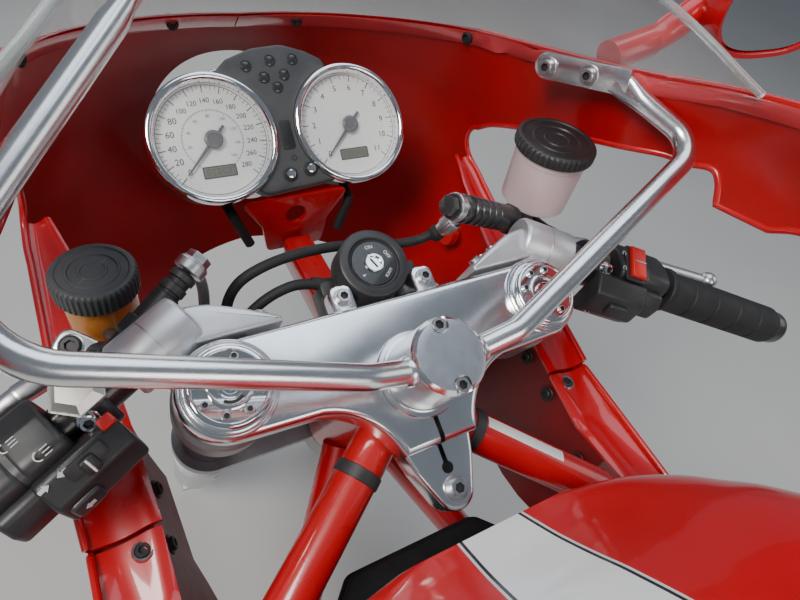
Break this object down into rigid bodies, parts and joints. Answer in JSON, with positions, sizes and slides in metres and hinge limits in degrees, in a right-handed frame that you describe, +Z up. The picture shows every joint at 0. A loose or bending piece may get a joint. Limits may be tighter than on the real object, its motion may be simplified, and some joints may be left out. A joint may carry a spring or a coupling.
{
  "type": "motorcycle front section",
  "caption": "Front section of a sport motorcycle: trellis frame, tank, fork with clip-on bars, twin gauges, half fairing with screen and mirrors, round stays to a central boss.",
  "frame": {"origin": "middle of the rear engine bolt's axis, between the frame's two rear lugs", "axes": "+X the motorcycle's right, +Y forward, +Z up; the steering axis leans back 24 degrees from +Z"},
  "size_m": [0.786, 0.9637, 0.7784],
  "materials": {
    "polished_aluminium": "polished",
    "cast_aluminium": "satin",
    "steel": "brushed",
    "chrome": "bright",
    "red_paint": "gloss",
    "red_bodywork": "gloss",
    "black_paint": "satin",
    "black_plastic": "matt",
    "black_rubber": "matt",
    "clear_screen": "clear",
    "lamp_glass": "clear",
    "mirror_glass": "bright",
    "fluid_pink": "translucent",
    "fluid_amber": "translucent",
    "dial_face": "gloss"
  },
  "bodies": {
    "front_frame": {"head_tube": "red_paint", "left_frame": "red_paint", "right_frame": "red_paint", "frame_crossbar": "red_paint", "fairing_bracket": "red_paint", "stem_boss": "polished_aluminium", "fuel_tank": "red_paint", "filler_ring": "polished_aluminium", "airbox": "black_plastic", "speedometer": "dial_face", "tachometer": "dial_face", "speedometer_bezel": "chrome", "tachometer_bezel": "chrome", "instrument_panel": "black_plastic", "upper_fairing": "red_bodywork", "windscreen": "clear_screen", "headlight": "polished_aluminium", "headlight_lens": "lamp_glass", "mirror_glasses": "mirror_glass", "left_fairing_stay": "polished_aluminium", "left_side_panel": "red_bodywork", "left_mirror": "red_bodywork", "right_fairing_stay": "polished_aluminium", "right_side_panel": "red_bodywork", "right_mirror": "red_bodywork"},
    "steering": {"top_yoke": "polished_aluminium", "bottom_yoke": "cast_aluminium", "steering_stem": "steel", "ignition_switch": "black_plastic", "hose_junction": "steel", "brake_hose": "black_rubber", "clutch_hose": "steel", "ignition_cable": "black_rubber", "left_fork_tube": "chrome", "left_fork_cap": "chrome", "left_fork_slider": "cast_aluminium", "left_clip_on": "polished_aluminium", "left_handlebar": "black_paint", "left_grip": "black_rubber", "left_switchgear": "black_plastic", "left_master_cylinder": "black_paint", "left_lever": "polished_aluminium", "left_reservoir": "fluid_amber", "left_reservoir_cap": "black_plastic", "right_fork_tube": "chrome", "right_fork_cap": "chrome", "right_fork_slider": "cast_aluminium", "right_clip_on": "polished_aluminium", "right_handlebar": "black_paint", "right_grip": "black_rubber", "right_switchgear": "black_plastic", "right_master_cylinder": "black_paint", "right_lever": "polished_aluminium", "right_reservoir": "fluid_pink", "right_reservoir_cap": "black_plastic"},
    "filler_cap": {"filler_cap": "polished_aluminium"}
  },
  "joints": [
    {"name": "steering", "type": "hinge", "parent": "front_frame", "child": "steering", "pos_m": [0, 0.33, 0.43], "axis": [0, -0.4067, 0.9135], "range_deg": [-26, 26]},
    {"name": "filler_cap_hinge", "type": "hinge", "parent": "front_frame", "child": "filler_cap", "pos_m": [0, 0.12, 0.4925], "axis": [-1, 0, 0], "range_deg": [0, 95]}
  ]
}
